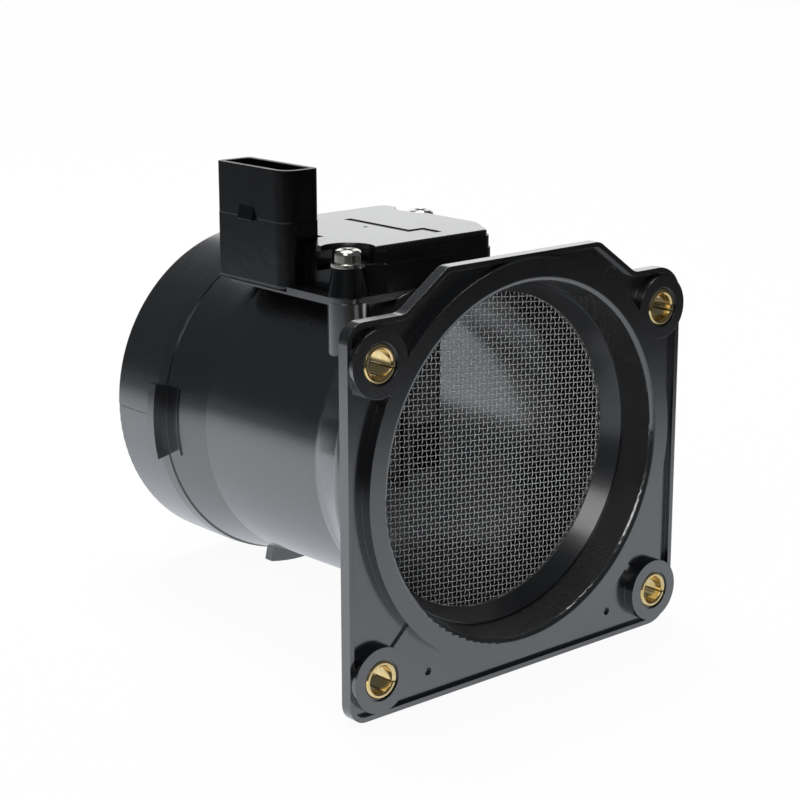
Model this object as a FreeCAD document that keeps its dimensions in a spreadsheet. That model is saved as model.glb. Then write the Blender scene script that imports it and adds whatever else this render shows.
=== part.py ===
import FreeCAD, Part
import math
import os
from types import SimpleNamespace

import Sketcher
from FreeCAD import Placement, Rotation, Vector

# Mass airflow sensor: a moulded tube with a square mounting flange at the inlet,
# a hose collar at the outlet, a screened mouth and a plug-in measuring module on top.
# Frame: origin at the middle of the four flange bolts on the mating face, +X to the
# right seen from the inlet, +Y along the air flow, +Z up to the module.
# Lengths are millimetres and angles are degrees. BITE is how far a joined feature
# reaches into its neighbour and PAST is how far a cut runs beyond the face it opens.
SIZES = {
    "duct_rise": 5.75,
    "plate_half_x": 53.0,
    "plate_half_z": 46.1,
    "bolt_inset_x": 8.0,
    "bolt_inset_z": 9.6,
    "tab_top": 55.0,
    "tab_half_top": 24.1,
    "tab_half_base": 36.6,
    "tab_round": 4.0,
    "corner_left_r": 4.5,
    "corner_right_r": 8.0,
    "rim_front": 1.5,
    "rim_width": 1.25,
    "floor_front": 2.7,
    "plate_back": 4.5,
    "annulus_r": 48.3,
    "boss_r": 7.8,
    "rear_boss_r": 5.6,
    "bush_outer_r": 4.45,
    "bush_bore_r": 3.25,
    "bush_length": 7.4,
    "bush_chamfer": 0.35,
    "bush_seam": 0.3,
    "bush_seam_drop": 1.2,
    "moat_width": 0.45,
    "moat_depth": 0.5,
    "web_width": 1.6,
    "web_front": 2.1,
    "pit_left_x": 28.8,
    "pit_right_x": 30.8,
    "pit_z": 39.5,
    "pit_r": 0.95,
    "pit_depth": 0.7,
    "stamp_x": 29.4,
    "stamp_z": 46.6,
    "stamp_r": 1.7,
    "stamp_width": 0.35,
    "stamp_depth": 0.2,
    "barrel_r": 44.5,
    "barrel_end": 17.0,
    "neck_end": 30.6,
    "neck_round": 4.0,
    "neck_r": 38.7,
    "tube_end": 73.6,
    "tube_end_r": 39.6,
    "shoulder_end": 88.0,
    "shoulder_r": 41.9,
    "collar_r": 42.5,
    "collar_relief": 0.3,
    "collar_gap": 1.0,
    "collar_end": 108.8,
    "collar_edge": 0.8,
    "mouth_r": 42.8,
    "mouth_edge": 1.3,
    "throat_r": 41.4,
    "throat_start": 8.9,
    "ledge_r": 38.2,
    "duct_r": 36.0,
    "duct_start": 26.0,
    "duct_end": 82.0,
    "diffuser_end": 92.0,
    "outlet_r": 39.4,
    "lug_r": 46.0,
    "lug_front": 87.2,
    "lug_back": 90.1,
    "lug_pad_front": 83.4,
    "lug_pad_rise": 2.0,
    "lug_pad_crest": 0.15,
    "lug_angle": 24.6,
    "seat_gap": 0.05,
    "ring_lip": 0.4,
    "ring_end": 13.4,
    "ring_end_r": 38.4,
    "rim_wall": 0.3,
    "rim_inner_r": 38.4,
    "mesh_r": 39.6,
    "mesh_band": 1.4,
    "wire": 0.4,
    "wire_overlap": 0.2,
    "wire_width": 1.2,
    "wire_pitch": 7.4,
    "wire_count": 10,
    "deck_half_x": 30.3,
    "deck_front": 30.3,
    "deck_back": 77.7,
    "deck_cut": 0.75,
    "deck_thick": 1.8,
    "deck_corner": 4.5,
    "skirt_inset": 1.8,
    "skirt_wall": 2.4,
    "skirt_high": 19.7,
    "post_r": 5.0,
    "post_draft": 0.05,
    "post_length": 15.7,
    "screw_inset_x": 4.9,
    "screw_inset_front": 4.5,
    "screw_inset_back": 10.7,
    "insert_r": 3.0,
    "insert_bore_r": 2.05,
    "insert_length": 8.0,
    "insert_relief": 1.0,
    "probe_half_x": 6.5,
    "probe_inset": 20.7,
    "probe_half_y": 15.0,
    "probe_drop": 13.75,
    "probe_round": 3.0,
    "probe_gap": 0.5,
    "seal_inset": 1.5,
    "seal_width": 2.0,
    "seal_depth": 1.0,
    "seal_gap": 0.1,
    "cover_thick": 1.6,
    "cover_drop": 5.7,
    "cover_wall": 1.8,
    "air_drop": 9.75,
    "air_high": 12.0,
    "carrier_thick": 0.8,
    "carrier_half_y": 6.0,
    "carrier_lift": 2.0,
    "carrier_x": -1.0,
    "slot_half_y": 8.0,
    "base_inset_front": 0.3,
    "base_inset_left": 5.1,
    "base_inset_right": 8.0,
    "base_cut_left": 8.2,
    "base_cut_right": 5.8,
    "base_run_left": 6.4,
    "base_run_right": 9.9,
    "base_corner": 3.0,
    "base_rise": 9.9,
    "wall_step": 0.4,
    "ear_rise": 6.95,
    "ear_top_r": 3.6,
    "wing_reach": 3.7,
    "wing_run": 5.2,
    "wing_end": 1.1,
    "shelf_thick": 1.8,
    "screw_relief_r": 6.6,
    "screw_hole_r": 2.25,
    "tray_wall": 1.9,
    "tray_inset_left": 7.6,
    "tray_cut_left": 3.1,
    "tray_step_back": 20.1,
    "tray_step": 3.8,
    "tray_floor_thick": 2.0,
    "board_rise": 1.5,
    "board_thick": 1.6,
    "board_gap": 0.4,
    "stud_r": 2.0,
    "lid_inset": 0.7,
    "lid_thick": 1.4,
    "lid_edge": 0.5,
    "lid_lip": 1.2,
    "lid_lip_wall": 1.2,
    "lid_lip_gap": 0.15,
    "mark_width": 2.2,
    "mark_depth": 0.25,
    "mark_inset": 2.0,
    "mark_reach": 3.4,
    "mark_return": 6.0,
    "gate_left": 4.1,
    "gate_back": 2.9,
    "gate_r": 0.6,
    "plug_overhang": 0.7,
    "plug_width": 9.6,
    "plug_length": 26.7,
    "plug_round": 1.0,
    "plug_lip": 1.4,
    "plug_lip_drop": 1.1,
    "plug_lip_gap": 0.1,
    "plug_rise": 15.2,
    "shroud_high": 12.5,
    "shroud_proud": 0.35,
    "shroud_round": 4.5,
    "shroud_corner": 1.4,
    "shroud_wall": 1.5,
    "socket_floor_thick": 1.5,
    "nib_half_y": 2.9,
    "nib_inset": 11.9,
    "nib_drop": 0.5,
    "nib_high": 2.9,
    "nib_proud": 0.9,
    "blade_thick": 0.8,
    "blade_width": 1.6,
    "blade_drop": 5.0,
    "blade_pitch": 4.4,
    "blade_landing": 3.2,
    "washer_r": 4.3,
    "washer_thick": 0.9,
    "screw_r": 2.0,
    "screw_length": 13.0,
    "screw_head_r": 3.35,
    "screw_head": 3.0,
    "screw_head_round": 1.1,
    "recess_arm": 1.9,
    "recess_width": 0.9,
    "recess_depth": 1.6,
    "chip_half": 4.5,
    "chip_inset": 13.4,
    "chip_high": 1.5,
    "capacitor_r": 1.6,
    "capacitor_high": 2.4,
    "capacitor_pitch": 5.0,
    "capacitor_inset": 7.2,
    "film_half_y": 1.5,
    "film_high": 5.0,
    "film_thick": 0.3,
    "film_lift": 4.0,
    "trim_half_y": 1.2,
    "trim_high": 3.0,
    "element_pitch": 4.4,
    "bead_r": 0.9,
    "bead_reach": 2.2,
    "lead_r": 0.25,
}
BITE = 0.5
PAST = 1.0
AXIS_LENGTH = 10.0
LUG_COUNT = 4
BLADE_COUNT = 5
CAPACITOR_COUNT = 3
PLANES = {"XY": ("XY_Plane", 1), "XZ": ("XZ_Plane", -1), "YZ": ("YZ_Plane", 1)}


class Size:
    """A number together with the sheet expression that gives it."""

    def __init__(self, value, text):
        self.value = value
        self.text = text

    def __add__(self, other):
        other = as_size(other)
        return Size(self.value + other.value, f"({self.text} + {other.text})")

    def __radd__(self, other):
        return as_size(other) + self

    def __sub__(self, other):
        other = as_size(other)
        return Size(self.value - other.value, f"({self.text} - {other.text})")

    def __rsub__(self, other):
        return as_size(other) - self

    def __mul__(self, other):
        other = as_size(other)
        return Size(self.value * other.value, f"({self.text} * {other.text})")

    def __rmul__(self, other):
        return as_size(other) * self

    def __truediv__(self, other):
        other = as_size(other)
        return Size(self.value / other.value, f"({self.text} / {other.text})")

    def __neg__(self):
        return 0 - self

    def root(self):
        return Size(math.sqrt(self.value), f"sqrt({self.text})")


def as_size(thing):
    """Turns a plain number into a Size and leaves a Size as it is."""
    return thing if isinstance(thing, Size) else Size(float(thing), repr(float(thing)))


def number(thing):
    """The value of a Size or of a plain number."""
    return as_size(thing).value


def make_sheet(doc):
    """Writes every driving dimension to the sheet and returns them as named sizes."""
    sheet = doc.addObject("Spreadsheet::Sheet", "Sizes")
    for row, (name, value) in enumerate(SIZES.items(), 1):
        sheet.set(f"A{row}", name.replace("_", " "))
        sheet.set(f"B{row}", str(value))
        sheet.setAlias(f"B{row}", name)
    doc.recompute()
    return SimpleNamespace(**{name: Size(float(value), f"Sizes.{name}") for name, value in SIZES.items()})


def place_levels(s):
    """Works out where the named sizes put the flange bolts, the deck and what stands on it."""
    s.bolt_x = s.plate_half_x - s.bolt_inset_x
    s.bolt_z = s.plate_half_z - s.bolt_inset_z
    s.deck_top = s.duct_rise + s.neck_r - s.deck_cut
    s.skirt_foot = s.deck_top - s.skirt_high
    s.screw_x = s.deck_half_x - s.screw_inset_x
    s.screw_front_y = s.deck_front + s.screw_inset_front
    s.screw_back_y = s.deck_back - s.screw_inset_back
    s.base_front = s.deck_front + s.base_inset_front
    s.base_left = s.deck_half_x - s.base_inset_left
    s.base_right = s.deck_half_x - s.base_inset_right
    s.base_left_y = s.base_front + s.base_run_left
    s.base_right_y = s.base_front + s.base_run_right
    s.base_top = s.deck_top + s.base_rise
    s.ear_top = s.deck_top + s.ear_rise
    s.wing_left = s.base_left + s.wing_reach
    s.wing_front = s.base_left_y + s.wing_run
    s.tray_left = s.base_left - s.tray_inset_left
    s.tray_floor = s.deck_top + s.tray_floor_thick
    s.board_low = s.tray_floor + s.board_rise
    s.board_top = s.board_low + s.board_thick
    s.plug_left = s.deck_half_x + s.plug_overhang
    s.plug_right = s.plug_left - s.plug_width
    s.plug_front = s.deck_back - s.plug_length
    s.plug_corner = s.shroud_round - s.shroud_proud
    s.shroud_foot = s.deck_top + s.plug_rise
    s.shroud_top = s.shroud_foot + s.shroud_high
    s.socket_floor = s.shroud_foot + s.socket_floor_thick
    s.blade_x = (s.plug_left + s.plug_right) / 2
    s.probe_y = s.deck_front + s.probe_inset
    s.probe_foot = s.duct_rise - s.probe_drop
    s.air_foot = s.duct_rise - s.air_drop
    s.air_top = s.air_foot + s.air_high
    s.carrier_foot = s.air_foot + s.carrier_lift
    s.film_low = s.air_foot + s.film_lift
    s.cover_top = s.deck_top - s.cover_drop
    return s


def bind(thing, prop, size):
    """Ties one property of an object to a size."""
    thing.setExpression(prop, as_size(size).text)


def new_body(doc, label, x=0, y=0, z=0):
    """Starts a sub-part whose own origin lies at the given place."""
    body = doc.addObject("PartDesign::Body", label)
    body.Label = label
    for prop, size in zip(("x", "y", "z"), (x, y, z)):
        bind(body, f"Placement.Base.{prop}", size)
    return body


def origin_part(body, role):
    """Finds one of the body's own base planes or axes."""
    return next(part for part in body.Origin.OriginFeatures if part.Role == role)


def new_sketch(body, name, plane, level):
    """Places an empty sketch across one of the body's planes at a level along its axis."""
    role, sense = PLANES[plane]
    sketch = body.newObject("Sketcher::SketchObject", name)
    sketch.AttachmentSupport = (origin_part(body, role), [""])
    sketch.MapMode = "FlatFace"
    bind(sketch, "AttachmentOffset.Base.z", as_size(level) * sense)
    return sketch


def fix_size(sketch, name, size, *constraint):
    """Adds a named sketch constraint and returns it with the size that drives it."""
    row = sketch.addConstraint(Sketcher.Constraint(*constraint, number(size)))
    sketch.renameConstraint(row, name)
    return name, size


def fix_point(sketch, geometry, point, x, y):
    """Fixes a point by its distances from the sketch's origin."""
    across = fix_size(sketch, f"x{geometry}", x, "DistanceX", -1, 1, geometry, point)
    up = fix_size(sketch, f"y{geometry}", y, "DistanceY", -1, 1, geometry, point)
    return [across, up]


def tie(sketch, fixed):
    """Binds named constraints to their sizes once the sketch is whole."""
    for name, size in fixed:
        bind(sketch, f"Constraints.{name}", size)


def outline(*corners):
    """A closed outline of straight lines; a corner's third value is its radius."""
    def draw(sketch):
        spots = [Vector(number(corner[0]), number(corner[1]), 0) for corner in corners]
        lines = []
        for start, end in zip(spots, spots[1:] + spots[:1]):
            lines.append(sketch.addGeometry(Part.LineSegment(start, end), False))
        for line, following in zip(lines, lines[1:] + lines[:1]):
            sketch.addConstraint(Sketcher.Constraint("Coincident", line, 2, following, 1))
        fixed = []
        for line, corner in zip(lines, corners):
            fixed += fix_point(sketch, line, 1, corner[0], corner[1])
        for line, corner in zip(lines, corners):
            if len(corner) == 3:
                sketch.fillet(line, 1, number(corner[2]), True, True)
                arc = sketch.GeometryCount - 2
                fixed.append(fix_size(sketch, f"r{line}", corner[2], "Radius", arc))
        tie(sketch, fixed)
    return draw


def oblong(low_x, high_x, low_y, high_y, *radius):
    """A rectangle between two limits each way, with round corners if a radius is given."""
    corners = ((low_x, low_y), (high_x, low_y), (high_x, high_y), (low_x, high_y))
    return outline(*[(*corner, *radius) for corner in corners])


def disc(x, y, radius):
    """A circle about a point."""
    def draw(sketch):
        centre = Vector(number(x), number(y), 0)
        ring = sketch.addGeometry(Part.Circle(centre, Vector(0, 0, 1), number(radius)), False)
        fixed = fix_point(sketch, ring, 3, x, y)
        fixed.append(fix_size(sketch, f"r{ring}", radius, "Radius", ring))
        tie(sketch, fixed)
    return draw


def racetrack(x, y, half_x, half_y):
    """A slot with round ends that runs along the sketch's second axis."""
    def draw(sketch):
        cx, cy, r, reach = number(x), number(y), number(half_x), number(half_y) - number(half_x)
        up = Part.ArcOfCircle(Part.Circle(Vector(cx, cy + reach, 0), Vector(0, 0, 1), r), 0, math.pi)
        left = Part.LineSegment(Vector(cx - r, cy + reach, 0), Vector(cx - r, cy - reach, 0))
        low_circle = Part.Circle(Vector(cx, cy - reach, 0), Vector(0, 0, 1), r)
        down = Part.ArcOfCircle(low_circle, math.pi, 2 * math.pi)
        right = Part.LineSegment(Vector(cx + r, cy - reach, 0), Vector(cx + r, cy + reach, 0))
        parts = [sketch.addGeometry(piece, False) for piece in (up, left, down, right)]
        for part, following in zip(parts, parts[1:] + parts[:1]):
            sketch.addConstraint(Sketcher.Constraint("Tangent", part, 2, following, 1))
        fixed = [fix_size(sketch, f"r{parts[0]}", half_x, "Radius", parts[0])]
        fixed += fix_point(sketch, parts[0], 3, x, y + half_y - half_x)
        fixed += fix_point(sketch, parts[2], 3, x, y - half_y + half_x)
        tie(sketch, fixed)
    return draw


def pad(body, name, plane, low, high, *shapes):
    """Adds material between two levels along the plane's axis."""
    start = low if PLANES[plane][1] > 0 else high
    sketch = new_sketch(body, f"{name}_sketch", plane, start)
    for draw in shapes:
        draw(sketch)
    feature = body.newObject("PartDesign::Pad", name)
    feature.Profile = sketch
    bind(feature, "Length", high - low)
    return finish(feature)


def pocket(body, name, plane, low, high, *shapes):
    """Cuts between two levels along the plane's axis."""
    before = body.Tip.Shape.Volume
    start = high if PLANES[plane][1] > 0 else low
    sketch = new_sketch(body, f"{name}_sketch", plane, start)
    for draw in shapes:
        draw(sketch)
    feature = body.newObject("PartDesign::Pocket", name)
    feature.Profile = sketch
    bind(feature, "Length", high - low)
    return finish_cut(feature, before)


def finish(feature):
    """Works a new feature out and stops the build if it failed."""
    feature.Document.recompute()
    if "Invalid" in feature.State or feature.Shape.isNull():
        raise RuntimeError(f"{feature.Name} failed")
    return feature


def finish_cut(feature, before):
    """Works a cut out and stops the build if it has taken nothing away."""
    finish(feature)
    if feature.Shape.Volume >= before:
        raise RuntimeError(f"{feature.Name} cuts nothing")
    return feature


def turn(body, name, kind, axis_level, profile, angle=360, upright=False):
    """Turns a closed profile about an axis in the body's YZ plane."""
    sketch = new_sketch(body, f"{name}_sketch", "YZ", 0)
    reach = Vector(0, AXIS_LENGTH, 0) if upright else Vector(AXIS_LENGTH, 0, 0)
    base = Vector(0, number(axis_level), 0)
    axis = sketch.addGeometry(Part.LineSegment(base, base + reach), True)
    direction = "Vertical" if upright else "Horizontal"
    sketch.addConstraint(Sketcher.Constraint(direction, axis))
    fixed = fix_point(sketch, axis, 1, 0, axis_level)
    fixed.append(fix_size(sketch, "axis_length", AXIS_LENGTH, "Distance", axis))
    tie(sketch, fixed)
    profile(sketch)
    before = body.Tip.Shape.Volume if body.Tip else 0
    feature = body.newObject(f"PartDesign::{kind}", name)
    feature.Profile = sketch
    feature.ReferenceAxis = (sketch, ["Axis0"])
    feature.Midplane = True
    bind(feature, "Angle", angle)
    return finish_cut(feature, before) if kind == "Groove" else finish(feature)


def along_duct(*corners):
    """A profile about the duct's axis, each corner a place along it and a radius."""
    return outline(*[(y, S.duct_rise + r) for y, r in corners])


def repeat(body, name, feature, axis, length, count):
    """Repeats a feature along one of the body's axes."""
    pattern = body.newObject("PartDesign::LinearPattern", name)
    pattern.Originals = [feature]
    pattern.Direction = (origin_part(body, axis), [""])
    bind(pattern, "Length", length)
    bind(pattern, "Occurrences", count)
    body.Tip = pattern
    return finish(pattern)


def edges_through(shape, spots):
    """Names the edges of a shape that pass through any of the spots."""
    marks = [Part.Vertex(Vector(*[number(value) for value in spot])) for spot in spots]
    names = []
    for index, edge in enumerate(shape.Edges, 1):
        if any(edge.distToShape(mark)[0] < 0.01 for mark in marks):
            names.append(f"Edge{index}")
    return names


def soften(body, name, radius, *spots):
    """Rounds the edges that pass through the spots."""
    base = body.Tip
    feature = body.newObject("PartDesign::Fillet", name)
    feature.Base = (base, edges_through(base.Shape, spots))
    bind(feature, "Radius", radius)
    return finish(feature)


def add_block(doc, label, x, y, z):
    """A plain box between two limits along each axis."""
    box = doc.addObject("Part::Box", label)
    box.Label = label
    for side, axis, (low, high) in zip(("Length", "Width", "Height"), "xyz", (x, y, z)):
        bind(box, side, high - low)
        bind(box, f"Placement.Base.{axis}", low)
    return box


def add_rod(doc, label, x, y, z, radius, length, axis=Vector(0, 0, 1)):
    """A round bar that starts at a place and runs along an axis."""
    rod = doc.addObject("Part::Cylinder", label)
    rod.Label = label
    rod.Placement = Placement(Vector(), Rotation(Vector(0, 0, 1), axis))
    for prop, size in zip(("x", "y", "z"), (x, y, z)):
        bind(rod, f"Placement.Base.{prop}", size)
    bind(rod, "Radius", radius)
    bind(rod, "Height", length)
    return rod


def bolt_places():
    """The x and z of the four flange bolts."""
    signs = ((-1, 1), (1, 1), (1, -1), (-1, -1))
    return [(S.bolt_x * sx, S.bolt_z * sz) for sx, sz in signs]


def module_screws():
    """The x and y of the two module screws."""
    return ((-S.screw_x, S.screw_front_y), (S.screw_x, S.screw_back_y))


# The flange plate: a rectangle with a sloped tab on top, drawn in by an even margin.
def flange_corners(margin):
    half_x = S.plate_half_x - margin
    half_z = S.plate_half_z - margin
    run = S.tab_half_base - S.tab_half_top
    rise = S.tab_top - S.plate_half_z
    drawn_in = ((run * run + rise * rise).root() - run) / rise * margin
    shoulder = S.tab_half_base - drawn_in
    crown = S.tab_half_top - drawn_in
    top = S.tab_top - margin
    left_r = S.corner_left_r - margin
    right_r = S.corner_right_r - margin
    crown_r = S.tab_round - margin
    shoulder_r = S.tab_round + margin
    right = [(half_x, -half_z, right_r), (half_x, half_z, right_r), (shoulder, half_z, shoulder_r)]
    tab = [(crown, top, crown_r), (-crown, top, crown_r), (-shoulder, half_z, shoulder_r)]
    return [(-half_x, -half_z, left_r)] + right + tab + [(-half_x, half_z, left_r)]


def web_outline(sign):
    """The low web from a lower bolt boss to the ring, along the line between their centres."""
    drop = S.bolt_z + S.duct_rise
    reach = (S.bolt_x * S.bolt_x + drop * drop).root()
    step_x = S.bolt_x / reach
    step_z = drop / reach
    side = S.web_width / 2
    corners = []
    for along, across in ((0, 1), (1, 1), (1, -1), (0, -1)):
        from_centre = S.annulus_r - S.web_width + (reach - S.annulus_r + S.web_width - S.boss_r / 2) * along
        x = step_x * from_centre + step_z * side * across
        z = S.duct_rise - step_z * from_centre + step_x * side * across
        corners.append((x * sign, z))
    return outline(*corners)


def add_flange(body):
    """The plate with its raised border, two pits, a pin's stamp, bolt bosses and webs."""
    floor = S.floor_front
    pad(body, "plate", "XZ", S.rim_front, S.plate_back, outline(*flange_corners(0)))
    pocket(body, "plate_floor", "XZ", S.rim_front, floor, outline(*flange_corners(S.rim_width)))
    pits = [disc(x, -S.pit_z, S.pit_r) for x in (-S.pit_left_x, S.pit_right_x)]
    pocket(body, "pits", "XZ", floor, floor + S.pit_depth, *pits)
    rings = [disc(S.stamp_x, S.stamp_z, r) for r in (S.stamp_r, S.stamp_r - S.stamp_width)]
    pocket(body, "pin_stamp", "XZ", floor, floor + S.stamp_depth, *rings)
    root = floor + BITE
    pad(body, "bosses", "XZ", 0, root, *[disc(x, z, S.boss_r) for x, z in bolt_places()])
    barrels = [disc(x, z, S.rear_boss_r) for x, z in bolt_places()]
    pad(body, "rear_bosses", "XZ", S.plate_back - BITE, S.bush_length, *barrels)
    pad(body, "left_web", "XZ", S.web_front, root, web_outline(-1))
    pad(body, "right_web", "XZ", S.web_front, root, web_outline(1))


def add_tube(body):
    """The turned outer form: ring, barrel, neck, tube, shoulder, relief and hose collar."""
    floor = S.floor_front + BITE
    profile = along_duct(
        (0, 0),
        (0, S.annulus_r),
        (floor, S.annulus_r),
        (floor, S.barrel_r),
        (S.barrel_end, S.barrel_r),
        (S.neck_end, S.neck_r),
        (S.tube_end, S.tube_end_r),
        (S.shoulder_end, S.shoulder_r),
        (S.shoulder_end, S.collar_r - S.collar_relief),
        (S.lug_back + S.collar_gap, S.collar_r),
        (S.collar_end, S.collar_r),
        (S.collar_end, 0),
    )
    turn(body, "tube", "Revolution", S.duct_rise, profile)
    barrel_crest = (0, S.barrel_end, S.duct_rise + S.barrel_r)
    neck_crest = (0, S.neck_end, S.duct_rise + S.neck_r)
    soften(body, "neck_blend", S.neck_round, barrel_crest, neck_crest)


def add_deck(body):
    """The flat deck for the module, what carries it and the notch for the connector's lip."""
    low = S.deck_top - S.deck_thick
    left = S.deck_half_x - S.skirt_inset
    front = S.deck_front + S.skirt_inset
    wall = S.skirt_wall
    sheet = oblong(-S.deck_half_x, S.deck_half_x, S.deck_front, S.deck_back, S.deck_corner)
    pad(body, "deck", "XY", low, S.deck_top, sheet)
    posts = [disc(x, y, S.post_r - S.post_draft) for x, y in module_screws()]
    pad(body, "posts", "XY", S.deck_top - S.post_length, low + BITE, *posts)
    half = seal_half_x(S.seal_width) + wall
    back = S.probe_y + seal_half_y(S.seal_width) + wall
    pad(body, "pedestal", "XY", S.skirt_foot, low + BITE, oblong(-half, half, front, back))
    pad(body, "front_wall", "XY", S.skirt_foot, low + BITE, oblong(-left, left, front, front + wall))
    flat = oblong(-left, left, S.deck_front, S.deck_back)
    pocket(body, "deck_flat", "XY", S.deck_top, S.deck_top + S.collar_r - S.neck_r, flat)
    gap = S.plug_lip_gap
    inner = -S.plug_left + S.plug_lip + gap
    notch = oblong(-S.deck_half_x - PAST, inner, lip_front() - gap, S.deck_back + PAST)
    pocket(body, "lip_notch", "XY", S.deck_top - S.plug_lip_drop - gap, S.deck_top, notch)


def lip_front():
    """Where the connector's round corner meets the inner side of its lip."""
    r = S.plug_corner
    across = r - S.plug_lip
    return S.plug_front + r - (r * r - across * across).root()


def add_lugs(body):
    """The stops round the shoulder that a hose end meets."""
    root = S.neck_r
    profile = along_duct(
        (S.lug_pad_front, -root),
        (S.lug_pad_front, -S.tube_end_r - S.lug_pad_rise),
        (S.lug_front, -S.shoulder_r - S.lug_pad_crest),
        (S.lug_front, -S.lug_r),
        (S.lug_back, -S.lug_r),
        (S.lug_back, -root),
    )
    lug = turn(body, "lug", "Revolution", S.duct_rise, profile, S.lug_angle)
    ring = body.newObject("PartDesign::PolarPattern", "lugs")
    ring.Originals = [lug]
    ring.Axis = (lug.Profile[0], ["Axis0"])
    ring.Angle = 360
    ring.Occurrences = LUG_COUNT
    body.Tip = ring
    finish(ring)


def hollow_duct(body):
    """The air way: mouth, screen seat, measuring bore and outlet."""
    profile = along_duct(
        (-PAST, 0),
        (-PAST, S.mouth_r),
        (0, S.mouth_r),
        (S.throat_start, S.throat_r),
        (screen_end(), S.throat_r),
        (screen_end(), S.ledge_r),
        (S.duct_start, S.duct_r),
        (S.duct_end, S.duct_r),
        (S.diffuser_end, S.outlet_r),
        (S.collar_end + PAST, S.outlet_r),
        (S.collar_end + PAST, 0),
    )
    turn(body, "air_way", "Groove", S.duct_rise, profile)
    soften(body, "mouth_round", S.mouth_edge, (0, 0, S.duct_rise - S.mouth_r))
    soften(body, "collar_round", S.collar_edge, (0, S.collar_end, S.duct_rise - S.collar_r))


def screen_end():
    """Where the screen's frame ends and seats on the duct's ledge."""
    return S.ring_end + mesh_depth() + S.rim_wall * 2


def mesh_depth():
    """The screen's depth along the flow, two crossing wires."""
    return S.wire * 2 - S.wire_overlap


def cut_flange_holes(body):
    """The bush bores with a fine groove round each."""
    holes = [disc(x, z, S.bush_outer_r) for x, z in bolt_places()]
    pocket(body, "bush_bores", "XZ", -PAST, S.bush_length + PAST, *holes)
    moats = [disc(x, z, S.bush_outer_r + S.moat_width) for x, z in bolt_places()]
    pocket(body, "bush_moats", "XZ", 0, S.moat_depth, *moats)


def cut_deck_holes(body):
    """The probe opening, the seal's groove and the threaded inserts' holes."""
    opening = probe_outline(S.probe_gap)
    pocket(body, "probe_opening", "XY", S.skirt_foot, S.deck_top + PAST, opening)
    inner = racetrack(0, S.probe_y, seal_half_x(0), seal_half_y(0))
    outer = racetrack(0, S.probe_y, seal_half_x(S.seal_width), seal_half_y(S.seal_width))
    pocket(body, "seal_groove", "XY", S.deck_top - S.seal_depth, S.deck_top, outer, inner)
    depth = S.insert_length + S.insert_relief
    holes = [disc(x, y, S.insert_r) for x, y in module_screws()]
    pocket(body, "insert_holes", "XY", S.deck_top - depth, S.deck_top, *holes)


def probe_outline(margin):
    """The probe's section seen along its length, grown by a margin."""
    half_x = S.probe_half_x + margin
    half_y = S.probe_half_y + margin
    return oblong(-half_x, half_x, S.probe_y - half_y, S.probe_y + half_y, S.probe_round + margin)


def seal_half_x(width):
    return S.probe_half_x + S.probe_gap + S.seal_inset + width


def seal_half_y(width):
    return S.probe_half_y + S.probe_gap + S.seal_inset + width


def make_housing(doc):
    body = new_body(doc, "housing")
    add_flange(body)
    add_tube(body)
    add_deck(body)
    add_lugs(body)
    hollow_duct(body)
    cut_flange_holes(body)
    cut_deck_holes(body)


def make_bushes(doc):
    """Rolled brass compression limiters in the four bolt bosses, each with its open seam."""
    for index, (x, z) in enumerate(bolt_places(), 1):
        body = new_body(doc, f"flange_bush_{index}", x, 0, z)
        inner, outer, far, cut = S.bush_bore_r, S.bush_outer_r, S.bush_length, S.bush_chamfer
        profile = outline(
            (0, inner + cut),
            (0, outer - cut),
            (cut, outer),
            (far - cut, outer),
            (far, outer - cut),
            (far, inner + cut),
            (far - cut, inner),
            (cut, inner),
        )
        turn(body, f"bush_{index}", "Revolution", 0, profile)
        middle = -S.bush_seam_drop
        half = S.bush_seam / 2
        seam = oblong(inner / 2, outer + PAST, middle - half, middle + half)
        pocket(body, f"seam_{index}", "XZ", -PAST, far + PAST, seam)


def make_screen(doc):
    """The inlet screen: an edge band crossed by two layers of ridges."""
    body = new_body(doc, "inlet_screen")
    near = S.ring_end + S.rim_wall
    far = near + mesh_depth()
    span = S.wire_pitch * (S.wire_count - 1)
    side = S.wire_width / 2
    rise = S.duct_rise
    reach = S.mesh_r + PAST
    band = (disc(0, rise, S.mesh_r), disc(0, rise, S.mesh_r - S.mesh_band))
    pad(body, "band", "XZ", near, far, *band)
    uprights = oblong(-span / 2 - side, -span / 2 + side, rise - reach, rise + reach)
    first = pad(body, "upright", "XZ", near, near + S.wire, uprights)
    repeat(body, "uprights", first, "X_Axis", span, S.wire_count)
    crossing = oblong(-reach, reach, rise - span / 2 - side, rise - span / 2 + side)
    first = pad(body, "crossing", "XZ", far - S.wire, far, crossing)
    repeat(body, "crossings", first, "Z_Axis", span, S.wire_count)
    pocket(body, "trim", "XZ", near, far, disc(0, rise, reach * 2), disc(0, rise, S.mesh_r))


def make_screen_frames(doc):
    """The channel that grips the screen's edge and the cone that holds it in the mouth."""
    body = new_body(doc, "screen_rim")
    outer = S.throat_r - S.seat_gap
    near = S.ring_end
    far = screen_end()
    slot = S.mesh_r + S.seat_gap
    profile = along_duct(
        (near, S.rim_inner_r),
        (near, outer),
        (far, outer),
        (far, S.rim_inner_r),
        (far - S.rim_wall, S.rim_inner_r),
        (far - S.rim_wall, slot),
        (near + S.rim_wall, slot),
        (near + S.rim_wall, S.rim_inner_r),
    )
    turn(body, "rim_channel", "Revolution", S.duct_rise, profile)
    ring = new_body(doc, "screen_retaining_ring")
    cone = along_duct(
        (S.throat_start, outer),
        (S.throat_start, outer - S.ring_lip),
        (S.ring_end, S.ring_end_r),
        (S.ring_end, outer),
    )
    turn(ring, "cone", "Revolution", S.duct_rise, cone)


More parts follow.
